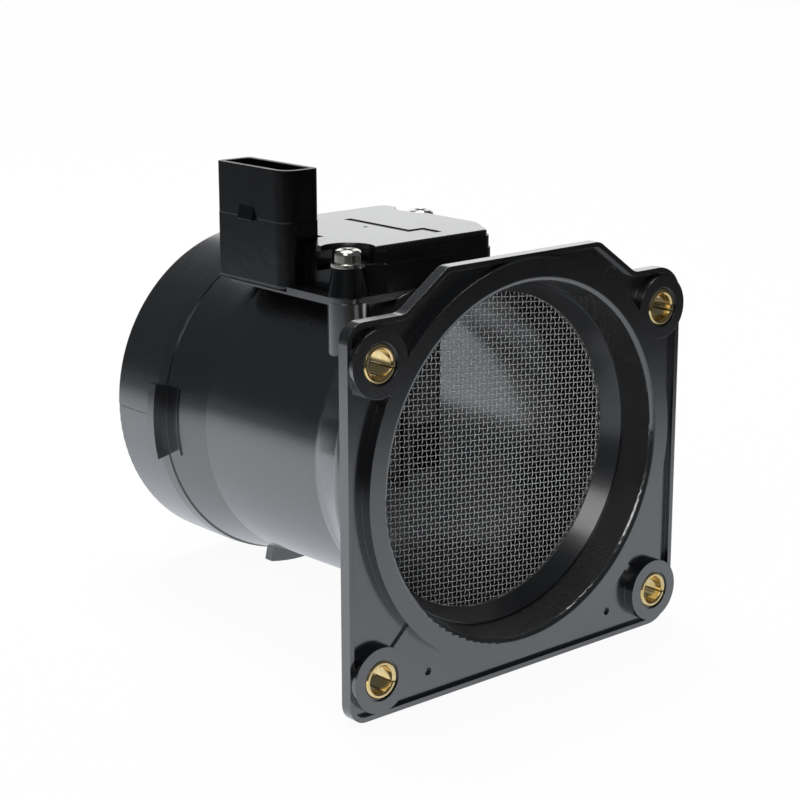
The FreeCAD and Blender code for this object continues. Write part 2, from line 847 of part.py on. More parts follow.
def base_outline(margin):
    """The module's foot in plan, drawn in by a margin."""
    front = S.base_front + margin
    left = S.base_left - margin
    right = S.base_right - margin
    half = margin / 2
    round_r = S.base_corner - margin
    return outline(
        (-S.base_left + S.base_cut_left + half, front),
        (S.base_right - S.base_cut_right - half, front, round_r),
        (right, S.base_right_y + half, round_r),
        (right, S.deck_back - margin, round_r),
        (-left, S.deck_back - margin),
        (-left, S.base_left_y + half),
    )


def tray_outline(margin):
    """The electronics tray in plan, drawn in by a margin."""
    wall = S.tray_wall + margin
    right = S.base_right - wall
    left = S.tray_left - margin
    front = S.base_front + wall
    back = S.deck_back - wall
    step = right - S.tray_step
    step_y = S.deck_back - S.tray_step_back - margin
    return outline(
        (-S.tray_left + S.tray_cut_left, front),
        (S.base_right - S.base_cut_right - wall / 2, front),
        (right, S.base_right_y + wall / 2),
        (right, step_y),
        (step, step_y + S.tray_step),
        (step, back),
        (-left, back),
        (-left, S.base_left_y + wall / 2),
    )


def module_relief():
    """The round clearances for the two module screws."""
    return [disc(x, y, S.screw_relief_r) for x, y in module_screws()]


def add_tray(body):
    """The tray's walls, the shelf at the screws' height and the screw ears."""
    pad(body, "foot", "XY", S.deck_top, S.ear_top, base_outline(0))
    shelf = outline(
        (-S.wing_left, S.wing_front),
        (-S.tray_left - BITE, S.wing_front),
        (-S.tray_left - BITE, S.plug_front + BITE),
        (-S.plug_right - S.wing_end, S.plug_front + BITE),
    )
    pad(body, "shelf", "XY", S.ear_top - S.shelf_thick, S.ear_top, shelf)
    pad(body, "upper_wall", "XY", S.ear_top - BITE, S.base_top, base_outline(S.wall_step))
    pocket(body, "screw_relief", "XY", S.ear_top, S.base_top + PAST, *module_relief())
    for index, (x, y) in enumerate(module_screws(), 1):
        ear = body.newObject("PartDesign::AdditiveCone", f"ear_{index}")
        ear.AttachmentSupport = (origin_part(body, "XY_Plane"), [""])
        ear.MapMode = "FlatFace"
        for prop, size in zip(("x", "y", "z"), (x, y, S.deck_top)):
            bind(ear, f"AttachmentOffset.Base.{prop}", size)
        bind(ear, "Radius1", S.post_r)
        bind(ear, "Radius2", S.ear_top_r)
        bind(ear, "Height", S.ear_top - S.deck_top)
        finish(ear)


def shroud_outline(wall):
    """The connector's shroud in plan, drawn in by a wall; one corner is wide and round."""
    step = wall - S.shroud_proud
    left = -S.plug_left + step
    right = -S.plug_right - step
    front = S.plug_front + step
    back = S.deck_back - step
    tight = S.shroud_corner - wall / 2
    return outline(
        (left, front, S.shroud_round - wall), (right, front, tight), (right, back, tight), (left, back, tight)
    )


def add_plug(body):
    """The connector block with its lip, its shroud and the latch nib on its outer side."""
    low = S.deck_top - S.plug_lip_drop
    block = outline(
        (-S.plug_left, S.deck_back),
        (-S.plug_left, S.plug_front, S.plug_corner),
        (-S.plug_right, S.plug_front),
        (-S.plug_right, S.deck_back),
    )
    pad(body, "plug_block", "XY", low, S.shroud_foot, block)
    seat = oblong(-S.plug_left + S.plug_lip, -S.plug_right + PAST, S.plug_front - PAST, S.deck_back + PAST)
    pocket(body, "deck_seat", "XY", low - PAST, S.deck_top, seat)
    middle = S.deck_back - S.plug_length / 2
    soften(body, "plug_foot", S.plug_round, (-S.plug_left, middle, low))
    left = -S.plug_left - S.shroud_proud
    pad(body, "shroud", "XY", S.shroud_foot, S.shroud_top, shroud_outline(0))
    pocket(body, "socket", "XY", S.socket_floor, S.shroud_top, shroud_outline(S.shroud_wall))
    nib_y = S.deck_back - S.nib_inset
    nib_low = S.shroud_foot - S.nib_drop
    nib_top = S.shroud_foot + S.nib_high
    nib = outline((left + BITE, nib_low), (left - S.nib_proud, nib_low), (left, nib_top), (left + BITE, nib_top))
    pad(body, "nib", "XZ", nib_y - S.nib_half_y, nib_y + S.nib_half_y, nib)


def probe_body(body):
    """The probe's rounded bar, the same form for the probe and its cover."""
    pad(body, "bar", "XY", S.probe_foot, S.deck_top, probe_outline(0))


def cover_seat():
    """Where the probe cover's inner face lies."""
    return S.probe_half_x - S.cover_thick


def probe_reach():
    """The front and back limits of a cut that runs right through the probe."""
    return (S.probe_y - S.probe_half_y - PAST, S.probe_y + S.probe_half_y + PAST)


def hollow_probe(body):
    """The cover's seat, the air passage through the probe and the carrier's slot."""
    seat = oblong(*probe_reach(), S.probe_foot - PAST, S.cover_top)
    pocket(body, "cover_seat", "YZ", cover_seat(), S.probe_half_x + PAST, seat)
    wall = -S.probe_half_x + S.cover_wall
    passage = oblong(*probe_reach(), S.air_foot, S.air_top)
    pocket(body, "air_passage", "YZ", wall, cover_seat(), passage)
    front = S.probe_y - S.slot_half_y
    back = S.probe_y + S.slot_half_y
    slot = oblong(front, back, S.air_top - PAST, S.cover_top - S.cover_wall)
    pocket(body, "carrier_slot", "YZ", S.carrier_x, cover_seat(), slot)
    neck = oblong(S.carrier_x, S.carrier_x + S.carrier_thick, *carrier_span())
    pocket(body, "carrier_neck", "XY", S.air_top, S.tray_floor + PAST, neck)


def carrier_span():
    """The carrier's front and back edges along the flow."""
    return (S.probe_y - S.carrier_half_y, S.probe_y + S.carrier_half_y)


def blade_outline(top, landing):
    """A terminal in side view: an upright blade and a foot that lands on the board."""
    low = S.board_top
    foot = low + S.blade_thick
    outer = -S.blade_x - S.blade_thick / 2
    inner = -S.blade_x + S.blade_thick / 2
    return outline((outer, low), (landing, low), (landing, foot), (inner, foot), (inner, top), (outer, top))


def blade_places():
    """The middle of each terminal along the row."""
    middle = (S.plug_front + S.deck_back) / 2
    return [middle + S.blade_pitch * (index - (BLADE_COUNT - 1) / 2) for index in range(BLADE_COUNT)]


def make_base(doc):
    """The module's moulding: foot, tray, connector and probe in one piece."""
    body = new_body(doc, "module_base")
    add_tray(body)
    add_plug(body)
    probe_body(body)
    pocket(body, "tray", "XY", S.tray_floor, S.base_top, tray_outline(0))
    hollow_probe(body)
    holes = [disc(x, y, S.screw_hole_r) for x, y in module_screws()]
    pocket(body, "screw_holes", "XY", S.deck_top - PAST, S.ear_top + PAST, *holes)
    studs = [disc(x, y, S.stud_r) for x, y in stud_places()]
    pad(body, "board_studs", "XY", S.tray_floor - BITE, S.board_low, *studs)
    first = blade_places()[0]
    side = S.blade_width / 2
    slot = blade_outline(S.socket_floor + BITE, -S.tray_left + BITE)
    cut = pocket(body, "blade_slot", "XZ", first - side, first + side, slot)
    repeat(body, "blade_slots", cut, "Y_Axis", S.blade_pitch * (BLADE_COUNT - 1), BLADE_COUNT)


def stud_places():
    """The board's rests in the tray's corners."""
    inset = S.stud_r + S.board_gap
    left = -S.tray_left + inset
    right = S.base_right - S.tray_wall - S.tray_step - inset
    front = S.base_left_y + S.tray_wall
    back = S.deck_back - S.tray_wall - inset
    return [(x, y) for x in (left, right) for y in (front, back)]


def make_seal(doc):
    """The rubber ring between the deck and the module."""
    body = new_body(doc, "module_seal")
    gap = S.seal_gap
    outer = racetrack(0, S.probe_y, seal_half_x(S.seal_width) - gap, seal_half_y(S.seal_width) - gap)
    inner = racetrack(0, S.probe_y, seal_half_x(0) + gap, seal_half_y(0) + gap)
    pad(body, "seal", "XY", S.deck_top - S.seal_depth, S.deck_top, outer, inner)


def make_cover(doc):
    """The thin cover over the probe's air passage."""
    body = new_body(doc, "probe_cover")
    probe_body(body)
    inner_side = oblong(*probe_reach(), S.probe_foot - PAST, S.deck_top + PAST)
    pocket(body, "inner_side", "YZ", -S.probe_half_x - PAST, cover_seat(), inner_side)
    above = oblong(*probe_reach(), S.cover_top, S.deck_top + PAST)
    pocket(body, "above", "YZ", cover_seat(), S.probe_half_x + PAST, above)


def lid_outline():
    """The lid in plan, set back from the base, with a wing over the shelf at the connector."""
    front = S.base_front + S.lid_inset
    back = S.deck_back - S.lid_inset
    right = S.base_right - S.lid_inset
    beside = -S.plug_right + S.shroud_proud + S.lid_inset
    before = S.plug_front - S.shroud_proud - S.lid_inset
    round_r = S.base_corner - S.lid_inset
    return outline(
        (-S.wing_left, front),
        (S.base_right - S.base_cut_right - S.lid_inset, front, round_r),
        (right, S.base_right_y + S.lid_inset, round_r),
        (right, back, round_r),
        (beside, back),
        (beside, before),
        (-S.plug_right - S.wing_end, before),
        (-S.wing_left, S.wing_front),
    )


def make_lid(doc):
    """The lid with its locating lip, the shallow stepped line on top and the gate's dot."""
    body = new_body(doc, "module_lid")
    top = S.base_top + S.lid_thick
    pad(body, "sheet", "XY", S.base_top, top, lid_outline())
    pocket(body, "lid_relief", "XY", S.base_top - PAST, top + PAST, *module_relief())
    right_y = (S.base_right_y + S.screw_back_y) / 2
    front_spot = (0, S.base_front + S.lid_inset, top)
    soften(body, "lid_round", S.lid_edge, front_spot, (S.base_right - S.lid_inset, right_y, top))
    gap = S.lid_lip_gap
    lip = (tray_outline(gap), tray_outline(gap + S.lid_lip_wall))
    pad(body, "lip", "XY", S.base_top - S.lid_lip, S.base_top, *lip)
    half = S.mark_width / 2
    far = S.probe_y + S.probe_half_y
    near = S.base_right_y + S.mark_inset
    tip = near - S.mark_return
    reach = S.mark_reach
    mark = outline(
        (-half, far),
        (-half, near - half),
        (reach, near - half),
        (reach, tip),
        (reach + S.mark_width, tip),
        (reach + S.mark_width, near + half),
        (half, near + half),
        (half, far),
    )
    gate = disc(-S.gate_left, S.probe_y + S.gate_back, S.gate_r)
    pocket(body, "mark", "XY", top - S.mark_depth, top, mark, gate)


def make_screws(doc):
    """The module's screws, washers and threaded inserts."""
    for index, (x, y) in enumerate(module_screws(), 1):
        washer = new_body(doc, f"screw_washer_{index}", x, y, S.ear_top)
        ring = outline(
            (S.screw_hole_r, 0), (S.washer_r, 0), (S.washer_r, S.washer_thick), (S.screw_hole_r, S.washer_thick)
        )
        turn(washer, f"washer_{index}", "Revolution", 0, ring, upright=True)
        screw = new_body(doc, f"module_screw_{index}", x, y, S.ear_top + S.washer_thick)
        shape = outline(
            (0, -S.screw_length),
            (S.screw_r, -S.screw_length),
            (S.screw_r, 0),
            (S.screw_head_r, 0),
            (S.screw_head_r, S.screw_head),
            (0, S.screw_head),
        )
        turn(screw, f"screw_{index}", "Revolution", 0, shape, upright=True)
        soften(screw, f"head_round_{index}", S.screw_head_round, (0, S.screw_head_r, S.screw_head))
        arm, side = S.recess_arm, S.recess_width / 2
        cross = outline(
            (-arm, -side), (-side, -side), (-side, -arm), (side, -arm), (side, -side), (arm, -side),
            (arm, side), (side, side), (side, arm), (-side, arm), (-side, side), (-arm, side),
        )
        pocket(screw, f"recess_{index}", "XY", S.screw_head - S.recess_depth, S.screw_head, cross)
        insert = new_body(doc, f"threaded_insert_{index}", x, y, S.deck_top - S.insert_length)
        tube = outline(
            (S.insert_bore_r, 0), (S.insert_r, 0), (S.insert_r, S.insert_length), (S.insert_bore_r, S.insert_length)
        )
        turn(insert, f"insert_{index}", "Revolution", 0, tube, upright=True)


def make_terminals(doc):
    """Five bent blades from the socket to the board."""
    for index, place in enumerate(blade_places(), 1):
        body = new_body(doc, f"terminal_{index}")
        side = S.blade_width / 2
        shape = blade_outline(S.shroud_top - S.blade_drop, -S.tray_left + S.blade_landing)
        pad(body, f"blade_{index}", "XZ", place - side, place + side, shape)


def make_board(doc):
    """The circuit board on its rests, with what it carries."""
    top = S.board_top
    body = new_body(doc, "circuit_board")
    pad(body, "board", "XY", S.board_low, top, tray_outline(S.board_gap))
    half = S.chip_half
    chip_y = S.base_front + S.chip_inset
    can_y = S.deck_back - S.capacitor_inset
    span = (chip_y - half, chip_y + half)
    add_block(doc, "control_chip", (-half, half), span, (top, top + S.chip_high))
    cans = []
    for index in range(CAPACITOR_COUNT):
        x = S.capacitor_pitch * (index - (CAPACITOR_COUNT - 1) / 2)
        can = add_rod(doc, f"can_{index + 1}", x, can_y, top, S.capacitor_r, S.capacitor_high)
        cans.append(can)
    group = doc.addObject("Part::Compound", "capacitors")
    group.Label = "capacitors"
    group.Links = cans


def make_sensing_parts(doc):
    """The ceramic carrier and the three elements that stand in the air passage."""
    thin = (S.carrier_x, S.carrier_x + S.carrier_thick)
    add_block(doc, "sensor_carrier", thin, carrier_span(), (S.carrier_foot, S.board_low))
    face = S.carrier_x + S.carrier_thick
    skin = (face, face + S.film_thick)
    near, middle, far = [S.probe_y + S.element_pitch * step for step in (-1, 0, 1)]
    film = (middle - S.film_half_y, middle + S.film_half_y)
    add_block(doc, "hot_film_element", skin, film, (S.film_low, S.film_low + S.film_high))
    trim = (near - S.trim_half_y, near + S.trim_half_y)
    add_block(doc, "compensation_element", skin, trim, (S.film_low, S.film_low + S.trim_high))
    level = S.film_low + S.trim_high / 2
    across = Vector(1, 0, 0)
    reach = S.bead_reach
    leads = []
    for index, shift in enumerate((-1, 1), 1):
        place = (face, far + S.bead_r * shift / 2, level)
        leads.append(add_rod(doc, f"lead_{index}", *place, S.lead_r, reach, across))
    bead = doc.addObject("Part::Sphere", "bead")
    bind(bead, "Radius", S.bead_r)
    for prop, size in zip(("x", "y", "z"), (face + reach, far, level)):
        bind(bead, f"Placement.Base.{prop}", size)
    joined = doc.addObject("Part::MultiFuse", "air_temperature_bead")
    joined.Label = "air_temperature_bead"
    joined.Shapes = leads + [bead]


def sub_parts(doc):
    """Every finished sub-part: bodies, and the loose solids that nothing else uses."""
    whole = [thing for thing in doc.Objects if thing.isDerivedFrom("PartDesign::Body")]
    loose = [thing for thing in doc.Objects if thing.TypeId.startswith("Part::") and not thing.InList]
    return whole + loose


def check(doc):
    """Stops the build when any object failed or any sub-part is empty or broken."""
    for thing in doc.Objects:
        if "Invalid" in thing.State or "Error" in thing.State:
            raise RuntimeError(f"{thing.Label} failed: {thing.State}")
    for part in sub_parts(doc):
        if part.Shape.isNull() or not part.Shape.isValid() or not part.Shape.Solids:
            raise RuntimeError(f"{part.Label} has no valid solid")


document = FreeCAD.newDocument("mass_airflow_sensor")
S = place_levels(make_sheet(document))
make_housing(document)
make_bushes(document)
make_screen(document)
make_screen_frames(document)
make_base(document)
make_seal(document)
make_cover(document)
make_lid(document)
make_screws(document)
make_terminals(document)
make_board(document)
make_sensing_parts(document)
document.recompute()
check(document)
os.makedirs("parts", exist_ok=True)
for part in sub_parts(document):
    part.Shape.exportStep(f"parts/{part.Label}.step")
    box = part.Shape.BoundBox
    print(f"{part.Label}: {len(part.Shape.Solids)} solid, {part.Shape.Volume:.1f} mm3, z {box.ZMin:.2f} to {box.ZMax:.2f}")
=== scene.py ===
import math

import bpy
from mathutils import Matrix, Vector


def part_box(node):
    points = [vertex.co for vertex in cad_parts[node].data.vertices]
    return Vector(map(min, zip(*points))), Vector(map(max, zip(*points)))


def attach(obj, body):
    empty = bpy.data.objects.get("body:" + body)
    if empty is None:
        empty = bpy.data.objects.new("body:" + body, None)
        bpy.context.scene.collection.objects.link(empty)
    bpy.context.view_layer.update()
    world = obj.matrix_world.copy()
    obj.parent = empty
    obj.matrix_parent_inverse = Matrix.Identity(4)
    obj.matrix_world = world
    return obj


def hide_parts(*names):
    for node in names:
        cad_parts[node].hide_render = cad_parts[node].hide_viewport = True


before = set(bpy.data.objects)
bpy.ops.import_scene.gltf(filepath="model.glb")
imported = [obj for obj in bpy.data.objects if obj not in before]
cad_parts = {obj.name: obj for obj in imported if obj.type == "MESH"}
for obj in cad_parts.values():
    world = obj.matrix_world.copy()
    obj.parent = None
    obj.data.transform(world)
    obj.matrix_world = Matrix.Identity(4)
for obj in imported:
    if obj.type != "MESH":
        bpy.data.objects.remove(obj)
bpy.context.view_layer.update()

MM = 0.001

# The photograph's viewpoint: a long lens from the front left, a little above the part.
# Angles and distance were solved from the bolt holes and the duct's circles.
view_azimuth = math.radians(-40.780)
view_elevation = math.radians(14.616)
view_roll = math.radians(-0.115)
view_target = Vector((-39.52, 0.0, 27.68)) * MM
view_distance = 435.42 * MM
lens_mm = 89.8
sensor_mm = 36.0

turn = Matrix.Rotation(view_azimuth, 4, "Z")
tip = Matrix.Rotation(math.radians(90) - view_elevation, 4, "X")
roll = Matrix.Rotation(view_roll, 4, "Z")
stance = turn @ tip @ roll
back = stance @ Vector((0, 0, 1, 0))
camera_data = bpy.data.cameras.new("camera")
camera_data.lens = lens_mm
camera_data.sensor_width = sensor_mm
camera_data.clip_start = 0.01
camera_data.clip_end = 20.0
camera = bpy.data.objects.new("camera", camera_data)
camera.matrix_world = Matrix.Translation(view_target + back.to_3d() * view_distance) @ stance
bpy.context.scene.collection.objects.link(camera)
bpy.context.scene.camera = camera
bpy.context.scene.view_settings.view_transform = "Standard"


# The studio is a white paper sweep in a dim room. A pool of light is painted on it as a
# glow that glossy faces mirror, full near the part and at its left, that fades outwards
# and towards the front. The part stands on the plate's lower edge and the lowest hose stop.
def linear(text):
    """A colour from its sRGB hex value."""
    parts = [int(text[i:i + 2], 16) / 255 for i in (0, 2, 4)]
    return [c / 12.92 if c <= 0.04045 else ((c + 0.055) / 1.055) ** 2.4 for c in parts] + [1.0]


def add(owner, kind, inputs=None, **settings):
    """Adds a node to a material, a world or a tree; an input is a value or another node's socket."""
    tree = getattr(owner, "node_tree", owner)
    node = tree.nodes.new(kind)
    for name, value in settings.items():
        setattr(node, name, value)
    for name, value in (inputs or {}).items():
        if isinstance(value, bpy.types.NodeSocket):
            tree.links.new(value, node.inputs[name])
        else:
            node.inputs[name].default_value = value
    return node


plate_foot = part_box("housing")[0].z
plate_place = 3.0 * MM
stop_foot = -40.25 * MM
stop_place = 88.6 * MM
lean = math.atan2(stop_foot - plate_foot, stop_place - plate_place)
floor_reach = 3.0

floor_mesh = bpy.data.meshes.new("floor")
floor_corners = [(x * floor_reach, y * floor_reach, 0) for x, y in ((-1, -1), (1, -1), (1, 1), (-1, 1))]
floor_mesh.from_pydata(floor_corners, [], [(0, 1, 2, 3)])
floor = bpy.data.objects.new("floor", floor_mesh)
floor.matrix_world = Matrix.Translation((0, plate_place, plate_foot)) @ Matrix.Rotation(lean, 4, "X")
bpy.context.scene.collection.objects.link(floor)

glow_share = 0.95
pool_middle = (0.0, 0.03, 0.0)
paper = bpy.data.materials.new("white_paper_sweep")
paper.use_nodes = True
paper.node_tree.nodes.clear()
ray = add(paper, "ShaderNodeLightPath").outputs
mirrored = add(paper, "ShaderNodeMath", {0: ray["Is Glossy Ray"], 1: ray["Is Transmission Ray"]},
               operation="MAXIMUM")
seen = add(paper, "ShaderNodeMath", {0: ray["Is Camera Ray"], 1: mirrored.outputs[0]}, operation="MAXIMUM")
share = add(paper, "ShaderNodeMath", {0: seen.outputs[0], 1: glow_share}, operation="MULTIPLY")
# The pool of light is painted: the paper glows for reflected rays, fading away from the part.
spot = add(paper, "ShaderNodeTexCoord").outputs["Object"]
from_part = add(paper, "ShaderNodeVectorMath", {0: spot, 1: pool_middle}, operation="DISTANCE")
pool = add(paper, "ShaderNodeMapRange", {
    "Value": from_part.outputs["Value"], "From Min": 0.18, "From Max": 0.48, "To Min": 1.0, "To Max": 0.14,
}, interpolation_type="SMOOTHSTEP")
along = add(paper, "ShaderNodeSeparateXYZ", {0: spot})
beside = add(paper, "ShaderNodeMapRange", {
    "Value": along.outputs["X"], "From Min": -0.12, "From Max": 0.02, "To Min": 1.0, "To Max": 0.7,
}, interpolation_type="SMOOTHSTEP")
before = add(paper, "ShaderNodeMapRange", {
    "Value": along.outputs["Y"], "From Min": -0.3, "From Max": -0.15,
    "To Min": 0.0, "To Max": beside.outputs[0],
}, interpolation_type="SMOOTHSTEP")
light = add(paper, "ShaderNodeMath", {0: pool.outputs[0], 1: before.outputs[0]}, operation="MULTIPLY")
strength = add(paper, "ShaderNodeMath", {0: ray["Is Camera Ray"], 1: light.outputs[0]}, operation="MAXIMUM")
matt = add(paper, "ShaderNodeBsdfDiffuse", {"Color": linear("F4F4F4")})
tint = add(paper, "ShaderNodeMix", {0: ray["Is Camera Ray"], 6: linear("F3F8FF"), 7: linear("FFFFFF")},
           data_type="RGBA")
glow = add(paper, "ShaderNodeEmission", {"Color": tint.outputs[2], "Strength": strength.outputs[0]})
blend = add(paper, "ShaderNodeMixShader", {0: share.outputs[0], 1: matt.outputs[0], 2: glow.outputs[0]})
add(paper, "ShaderNodeOutputMaterial", {"Surface": blend.outputs[0]})
floor_mesh.materials.append(paper)

room_level = 0.085
world = bpy.data.worlds.new("studio")
bpy.context.scene.world = world
world.use_nodes = True
world.node_tree.nodes.clear()
world_ray = add(world, "ShaderNodeLightPath").outputs
room = add(world, "ShaderNodeBackground", {"Color": linear("ECF5FF"), "Strength": room_level})
backdrop = add(world, "ShaderNodeBackground", {"Color": linear("FFFFFF"), "Strength": 1.0})
sky = add(world, "ShaderNodeMixShader", {
    0: world_ray["Is Camera Ray"], 1: room.outputs[0], 2: backdrop.outputs[0],
})
add(world, "ShaderNodeOutputWorld", {"Surface": sky.outputs[0]})


# The lamps are three soft boxes: one above, one wide and low behind the part for its level
# faces, and one high at the front left.
part_middle = Vector((0, 0.05, 0.0))


def soft_box(name, place, width, height, watts):
    """A rectangular soft box that faces the middle of the part."""
    lamp = bpy.data.lights.new(name, "AREA")
    lamp.shape = "RECTANGLE"
    lamp.size = width
    lamp.size_y = height
    lamp.energy = watts
    box = bpy.data.objects.new(name, lamp)
    facing = (Vector(place) - part_middle).to_track_quat("Z", "Y")
    box.matrix_world = Matrix.Translation(place) @ facing.to_matrix().to_4x4()
    bpy.context.scene.collection.objects.link(box)


soft_box("top_box", (0.1, 0.3, 1.2), width=0.7, height=0.7, watts=15)
soft_box("back_box", (0.98, 1.135, 0.42), width=2.0, height=0.72, watts=4.8)
soft_box("front_box", (-1.2, -0.6, 1.1), width=0.8, height=0.8, watts=8)


# The housing is one injection moulding of black glass-filled polyester. The tool left a
# fine even grain, the fibres make the gloss a little patchy, and the edges are broken, so
# that they catch a thin line of light.
def surface(name, colour, roughness, metallic=0.0, ior=1.5, coat=0.0, coat_roughness=0.2, coat_ior=1.6):
    """Starts a material with one principled shader."""
    material = bpy.data.materials.new(name)
    material.use_nodes = True
    material.node_tree.nodes.clear()
    shader = add(material, "ShaderNodeBsdfPrincipled", {
        "Base Color": linear(colour), "Roughness": roughness, "Metallic": metallic, "IOR": ior,
        "Coat Weight": coat, "Coat Roughness": coat_roughness, "Coat IOR": coat_ior,
    })
    add(material, "ShaderNodeOutputMaterial", {"Surface": shader.outputs[0]})
    return material, shader


def dress(material, *nodes):
    """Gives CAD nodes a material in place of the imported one."""
    for name in nodes:
        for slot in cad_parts[name].material_slots:
            slot.link = "OBJECT"
            slot.material = material


def per_mm(size):
    """A texture scale that gives features of a real size in millimetres."""
    return 1 / (size * MM)


shade_spread = 0.25


def moulded_black(name, colour, roughness, grain, patch, edge, wave, **finish):
    """Black moulding compound: the gloss drifts over each patch, which rises by the wave."""
    low, high = roughness
    material, shader = surface(name, colour, (low + high) / 2, **finish)
    place = add(material, "ShaderNodeTexCoord").outputs["Object"]
    clouds = add(material, "ShaderNodeTexNoise", {
        "Vector": place, "Scale": per_mm(patch), "Detail": 3.0, "Roughness": 0.6,
    })
    gloss = add(material, "ShaderNodeMapRange", {"Value": clouds.outputs[0], "To Min": low, "To Max": high})
    shade = add(material, "ShaderNodeMix", {
        0: clouds.outputs[0],
        6: [(1 - shade_spread) * part for part in linear(colour)],
        7: [(1 + shade_spread) * part for part in linear(colour)],
    }, data_type="RGBA")
    edges = add(material, "ShaderNodeBevel", {"Radius": edge * MM}, samples=4)
    waves = add(material, "ShaderNodeBump", {
        "Height": clouds.outputs[0], "Normal": edges.outputs[0], "Strength": 1.0, "Distance": wave * MM,
    })
    fine = add(material, "ShaderNodeTexNoise", {"Vector": place, "Scale": per_mm(grain), "Detail": 2.0})
    bump = add(material, "ShaderNodeBump", {
        "Height": fine.outputs[0], "Normal": waves.outputs[0], "Strength": 0.1, "Distance": 0.02 * MM,
    })
    join = material.node_tree.links.new
    join(shade.outputs[2], shader.inputs["Base Color"])
    join(gloss.outputs[0], shader.inputs["Roughness"])
    join(bump.outputs[0], shader.inputs["Normal"])
    join(bump.outputs[0], shader.inputs["Coat Normal"])
    return material, shader


housing_plastic, _ = moulded_black(
    "glass_filled_polyester_moulded", "0A0B0D", (0.22, 0.32), grain=0.35, patch=18, edge=0.15, wave=0.05,
    ior=1.75, coat=1.0, coat_roughness=0.15, coat_ior=1.9,
)
dress(housing_plastic, "housing")

# The tool's parting line leaves a low ridge in the same moulding along both sides of the
# hose collar, behind the stops. Its foot is sunk a little into the collar.
seam_high = 0.12 * MM
seam_half = 0.15 * MM
seam_foot = 0.1 * MM
seam_ends = (91.5 * MM, 107.5 * MM)
collar_reach = 42.5 * MM
duct_rise = 5.75 * MM
for name, side in (("collar_seam_left", -1), ("collar_seam_right", 1)):
    root_x = side * (collar_reach - seam_foot)
    crest_x = side * (collar_reach + seam_high)
    ridge = [(root_x, duct_rise - seam_half), (crest_x, duct_rise), (root_x, duct_rise + seam_half)]
    points = [(x, y, z) for y in seam_ends for x, z in ridge]
    faces = [(0, 1, 4, 3), (1, 2, 5, 4), (2, 0, 3, 5), (0, 2, 1), (3, 4, 5)]
    seam_mesh = bpy.data.meshes.new(name)
    seam_mesh.from_pydata(points, [], faces)
    seam_mesh.materials.append(housing_plastic)
    seam = bpy.data.objects.new(name, seam_mesh)
    bpy.context.scene.collection.objects.link(seam)
    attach(seam, "root")


# The bushes are compression limiters rolled from brass strip, with a seam, and pressed
# into the bosses; the inserts under the module's screws are turned from brass. Both are
# bright, with a gloss that drifts a little where the strip was handled.
def drifting(name, colours, roughness, size, stretch=(1, 1, 1), relief=0.005, edge=0.1, **finish):
    """A finish whose colour, gloss and level drift with a noise, stretched along the grain."""
    first, second = colours
    low, high = roughness
    material, shader = surface(name, first, (low + high) / 2, **finish)
    place = add(material, "ShaderNodeTexCoord").outputs["Object"]
    drawn = add(material, "ShaderNodeVectorMath", {0: place, 1: stretch}, operation="MULTIPLY")
    noise = add(material, "ShaderNodeTexNoise", {
        "Vector": drawn.outputs[0], "Scale": per_mm(size), "Detail": 4.0, "Roughness": 0.6,
    })
    even = add(material, "ShaderNodeMapRange", {"Value": noise.outputs[0], "From Min": 0.3, "From Max": 0.7})
    shade = add(material, "ShaderNodeMix", {0: even.outputs[0], 6: linear(first), 7: linear(second)},
                data_type="RGBA")
    gloss = add(material, "ShaderNodeMapRange", {"Value": even.outputs[0], "To Min": low, "To Max": high})
    edges = add(material, "ShaderNodeBevel", {"Radius": edge * MM}, samples=4)
    bump = add(material, "ShaderNodeBump", {
        "Height": noise.outputs[0], "Normal": edges.outputs[0], "Strength": 0.5, "Distance": relief * MM,
    })
    join = material.node_tree.links.new
    join(shade.outputs[2], shader.inputs["Base Color"])
    join(gloss.outputs[0], shader.inputs["Roughness"])
    join(bump.outputs[0], shader.inputs["Normal"])
    return material


brass = drifting("brass_rolled_bright", ("F8E3AE", "EFD08C"), (0.1, 0.18), size=2.0, relief=0.001,
                 edge=0.3, metallic=1.0)
dress(brass, *[f"flange_bush_{i}" for i in range(1, 5)], "threaded_insert_1", "threaded_insert_2")

# The inlet screen is woven from stainless wire in a plain weave, clamped at its edge in a
# rolled channel. Each wire passes over one crossing wire and under the next. Shade is
# painted on the wires: they darken towards the valleys of the weave, where the crossing
# wires shade them, so the crowns read bright. The swing is drawn deeper than the real one,
# so that the weave shows.
screen_low, screen_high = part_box("inlet_screen")
screen_middle = (screen_low + screen_high) / 2
screen_radius = (screen_high.x - screen_low.x) / 2
wire_pitch = 1.38 * MM
wire_radius = 0.1 * MM
wire_swing = 0.2 * MM
wire_sides = 5
steps_per_pitch = 4
weave_skew = -0.113
skew_allowance = 1.13
clamp_gap = 0.2 * MM
wire_count = 2 * int(screen_radius * skew_allowance / wire_pitch) + 1

# Painted shade begins about halfway down the swing and is full at its deepest.
crown = screen_middle.y - wire_swing - wire_radius
painted_shade_start = crown + 0.9 * wire_swing
valley = crown + 2.0 * wire_swing + wire_radius
steel, steel_shader = surface("stainless_wire_drawn", "F2F2F0", 0.36, metallic=0.1)
wire_place = add(steel, "ShaderNodeTexCoord").outputs["Object"]
wire_depth = add(steel, "ShaderNodeSeparateXYZ", {0: wire_place})
draw_marks = add(steel, "ShaderNodeTexNoise", {"Vector": wire_place, "Scale": per_mm(3.0), "Detail": 2.0})
painted_shade_mask = add(steel, "ShaderNodeMapRange", {
    "Value": wire_depth.outputs["Y"], "From Min": painted_shade_start, "From Max": valley,
})
wire_gloss = add(steel, "ShaderNodeMapRange", {
    "Value": draw_marks.outputs[0], "To Min": 0.28, "To Max": 0.45,
})
